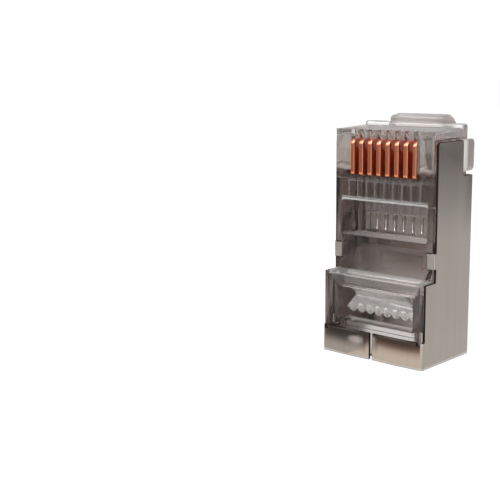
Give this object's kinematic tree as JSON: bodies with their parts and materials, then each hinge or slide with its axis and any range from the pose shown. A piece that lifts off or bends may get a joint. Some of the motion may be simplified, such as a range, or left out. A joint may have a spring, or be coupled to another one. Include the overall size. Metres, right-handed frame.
{
  "type": "rj45 modular plug",
  "caption": "Shielded modular plug with a clear housing, a comb of contact blades, a locking latch, strain relief bars and a folded metal shield.",
  "frame": {"origin": "middle of the cable entry's rim, on the plane that the plug stands on", "axes": "+Z from the cable entry to the nose, the way the plug goes into a jack; +X across the row of contacts; +Y towards the latch"},
  "size_m": [0.0116, 0.0138, 0.0232],
  "materials": {
    "clear_plastic": "clear moulded polycarbonate, glossy",
    "contacts": "stamped copper alloy, thinly gold plated, bright",
    "shield": "nickel plated folded sheet, bright satin"
  },
  "bodies": {
    "plug_body": {"housing": "clear_plastic", "shield": "shield"},
    "latch": {"latch": "clear_plastic"},
    "strain_relief_bar": {"strain_relief_bar": "clear_plastic"},
    "conductor_bar": {"conductor_bar": "clear_plastic"},
    "contact_1": {"contact_1": "contacts"},
    "contact_2": {"contact_2": "contacts"},
    "contact_3": {"contact_3": "contacts"},
    "contact_4": {"contact_4": "contacts"},
    "contact_5": {"contact_5": "contacts"},
    "contact_6": {"contact_6": "contacts"},
    "contact_7": {"contact_7": "contacts"},
    "contact_8": {"contact_8": "contacts"}
  },
  "joints": [
    {"name": "latch_flex", "type": "hinge", "parent": "plug_body", "child": "latch", "pos_m": [0, 0.00503, 0.0204], "axis": [-1, 0, 0], "range_deg": [0, 15], "stiffness_Nm_per_rad": 0.1},
    {"name": "strain_relief_press", "type": "hinge", "parent": "plug_body", "child": "strain_relief_bar", "pos_m": [0, -0.00275, 0.0066], "axis": [1, 0, 0], "range_deg": [0, 20]},
    {"name": "conductor_press", "type": "slide", "parent": "plug_body", "child": "conductor_bar", "axis": [0, 1, 0], "range_m": [0, 0.0004]},
    {"name": "contact_press_1", "type": "slide", "parent": "plug_body", "child": "contact_1", "axis": [0, 1, 0], "range_m": [0, 0.00055]},
    {"name": "contact_press_2", "type": "slide", "parent": "plug_body", "child": "contact_2", "axis": [0, 1, 0], "range_m": [0, 0.00055]},
    {"name": "contact_press_3", "type": "slide", "parent": "plug_body", "child": "contact_3", "axis": [0, 1, 0], "range_m": [0, 0.00055]},
    {"name": "contact_press_4", "type": "slide", "parent": "plug_body", "child": "contact_4", "axis": [0, 1, 0], "range_m": [0, 0.00055]},
    {"name": "contact_press_5", "type": "slide", "parent": "plug_body", "child": "contact_5", "axis": [0, 1, 0], "range_m": [0, 0.00055]},
    {"name": "contact_press_6", "type": "slide", "parent": "plug_body", "child": "contact_6", "axis": [0, 1, 0], "range_m": [0, 0.00055]},
    {"name": "contact_press_7", "type": "slide", "parent": "plug_body", "child": "contact_7", "axis": [0, 1, 0], "range_m": [0, 0.00055]},
    {"name": "contact_press_8", "type": "slide", "parent": "plug_body", "child": "contact_8", "axis": [0, 1, 0], "range_m": [0, 0.00055]}
  ]
}
